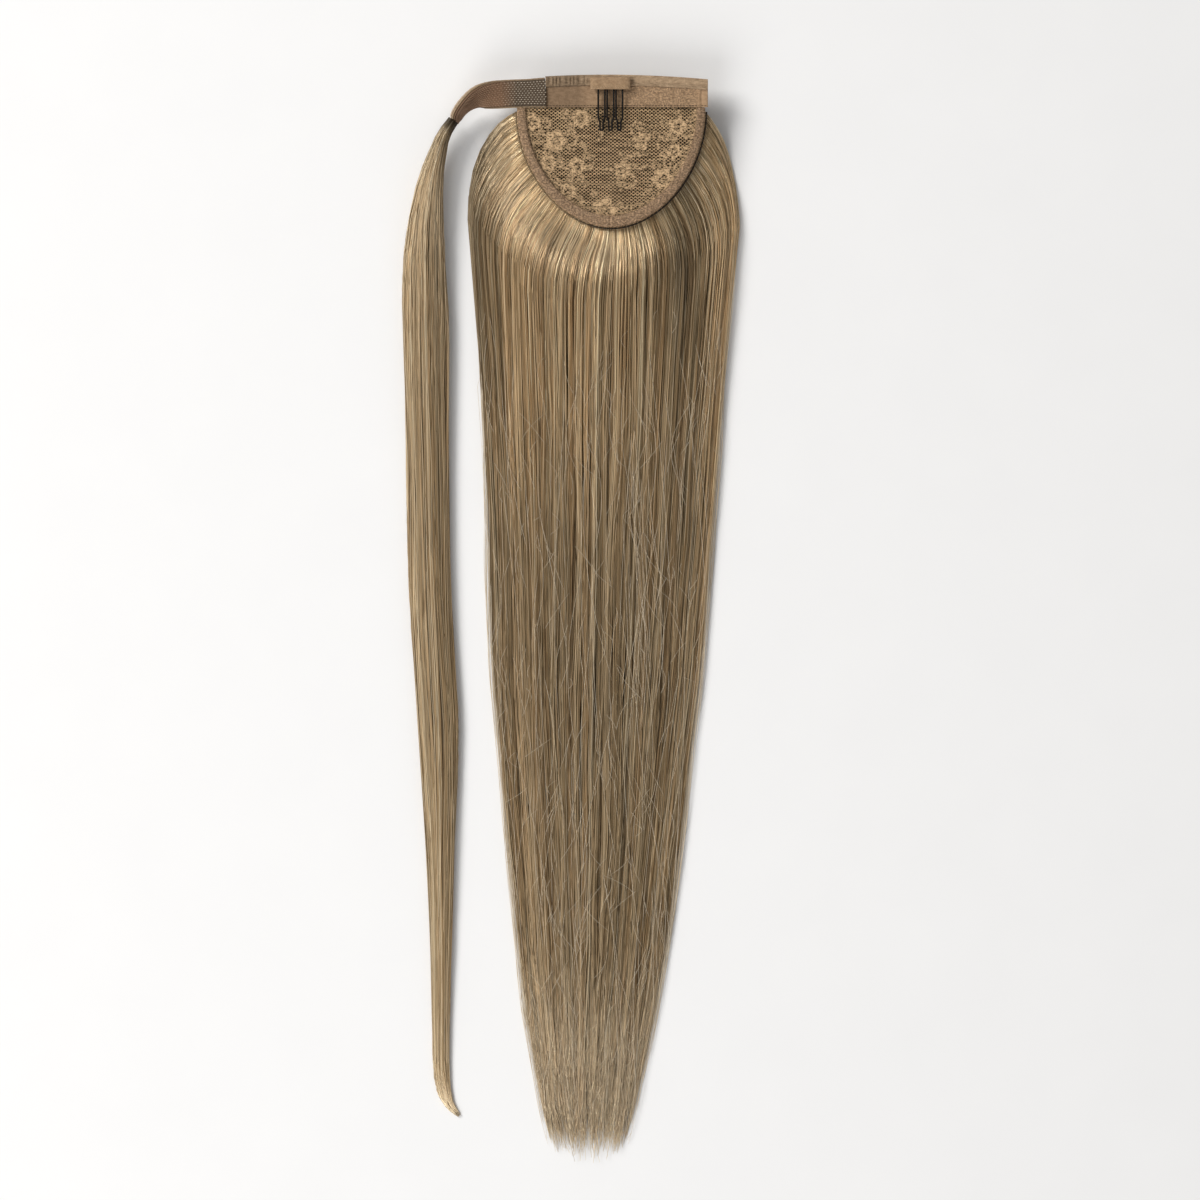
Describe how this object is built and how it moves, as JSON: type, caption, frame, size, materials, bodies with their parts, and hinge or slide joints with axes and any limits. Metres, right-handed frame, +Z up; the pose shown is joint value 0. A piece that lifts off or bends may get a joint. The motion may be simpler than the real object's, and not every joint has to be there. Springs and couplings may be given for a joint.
{
  "type": "ponytail hairpiece",
  "caption": "Wrap-round ponytail hairpiece: half-moon lace cap with a small wire comb, long straight fall of hair, and a hook-tape strap that ends in a thin wrapping lock",
  "frame": {"origin": "middle of the footprint, on the surface that the piece lies on", "axes": "+Z up from that surface, through the cap's inner side; +Y from the tips of the hair to the cap's straight edge; +X to the side away from the strap"},
  "size_m": [0.1857, 0.596, 0.0256],
  "materials": {
    "lace": "beige floral lace on a diamond net",
    "tape": "matt woven beige tape",
    "casing": "gathered woven elastic casing",
    "thread": "dark sewing thread",
    "comb_wire": "black lacquered wire",
    "strap": "soft light beige loop tape",
    "hooks": "brown hook tape",
    "hair": "straight ash-blonde hair with a soft sheen"
  },
  "bodies": {
    "root": {"lace_panel": "lace", "rim_binding": "tape", "weft_track": "thread", "top_band": "tape", "elastic_casing": "casing", "comb_tab": "tape", "wire_comb": "comb_wire", "strap_tape": "strap", "hook_tape": "hooks", "hair_fall": "hair", "wrap_lock": "hair"}
  },
  "joints": []
}
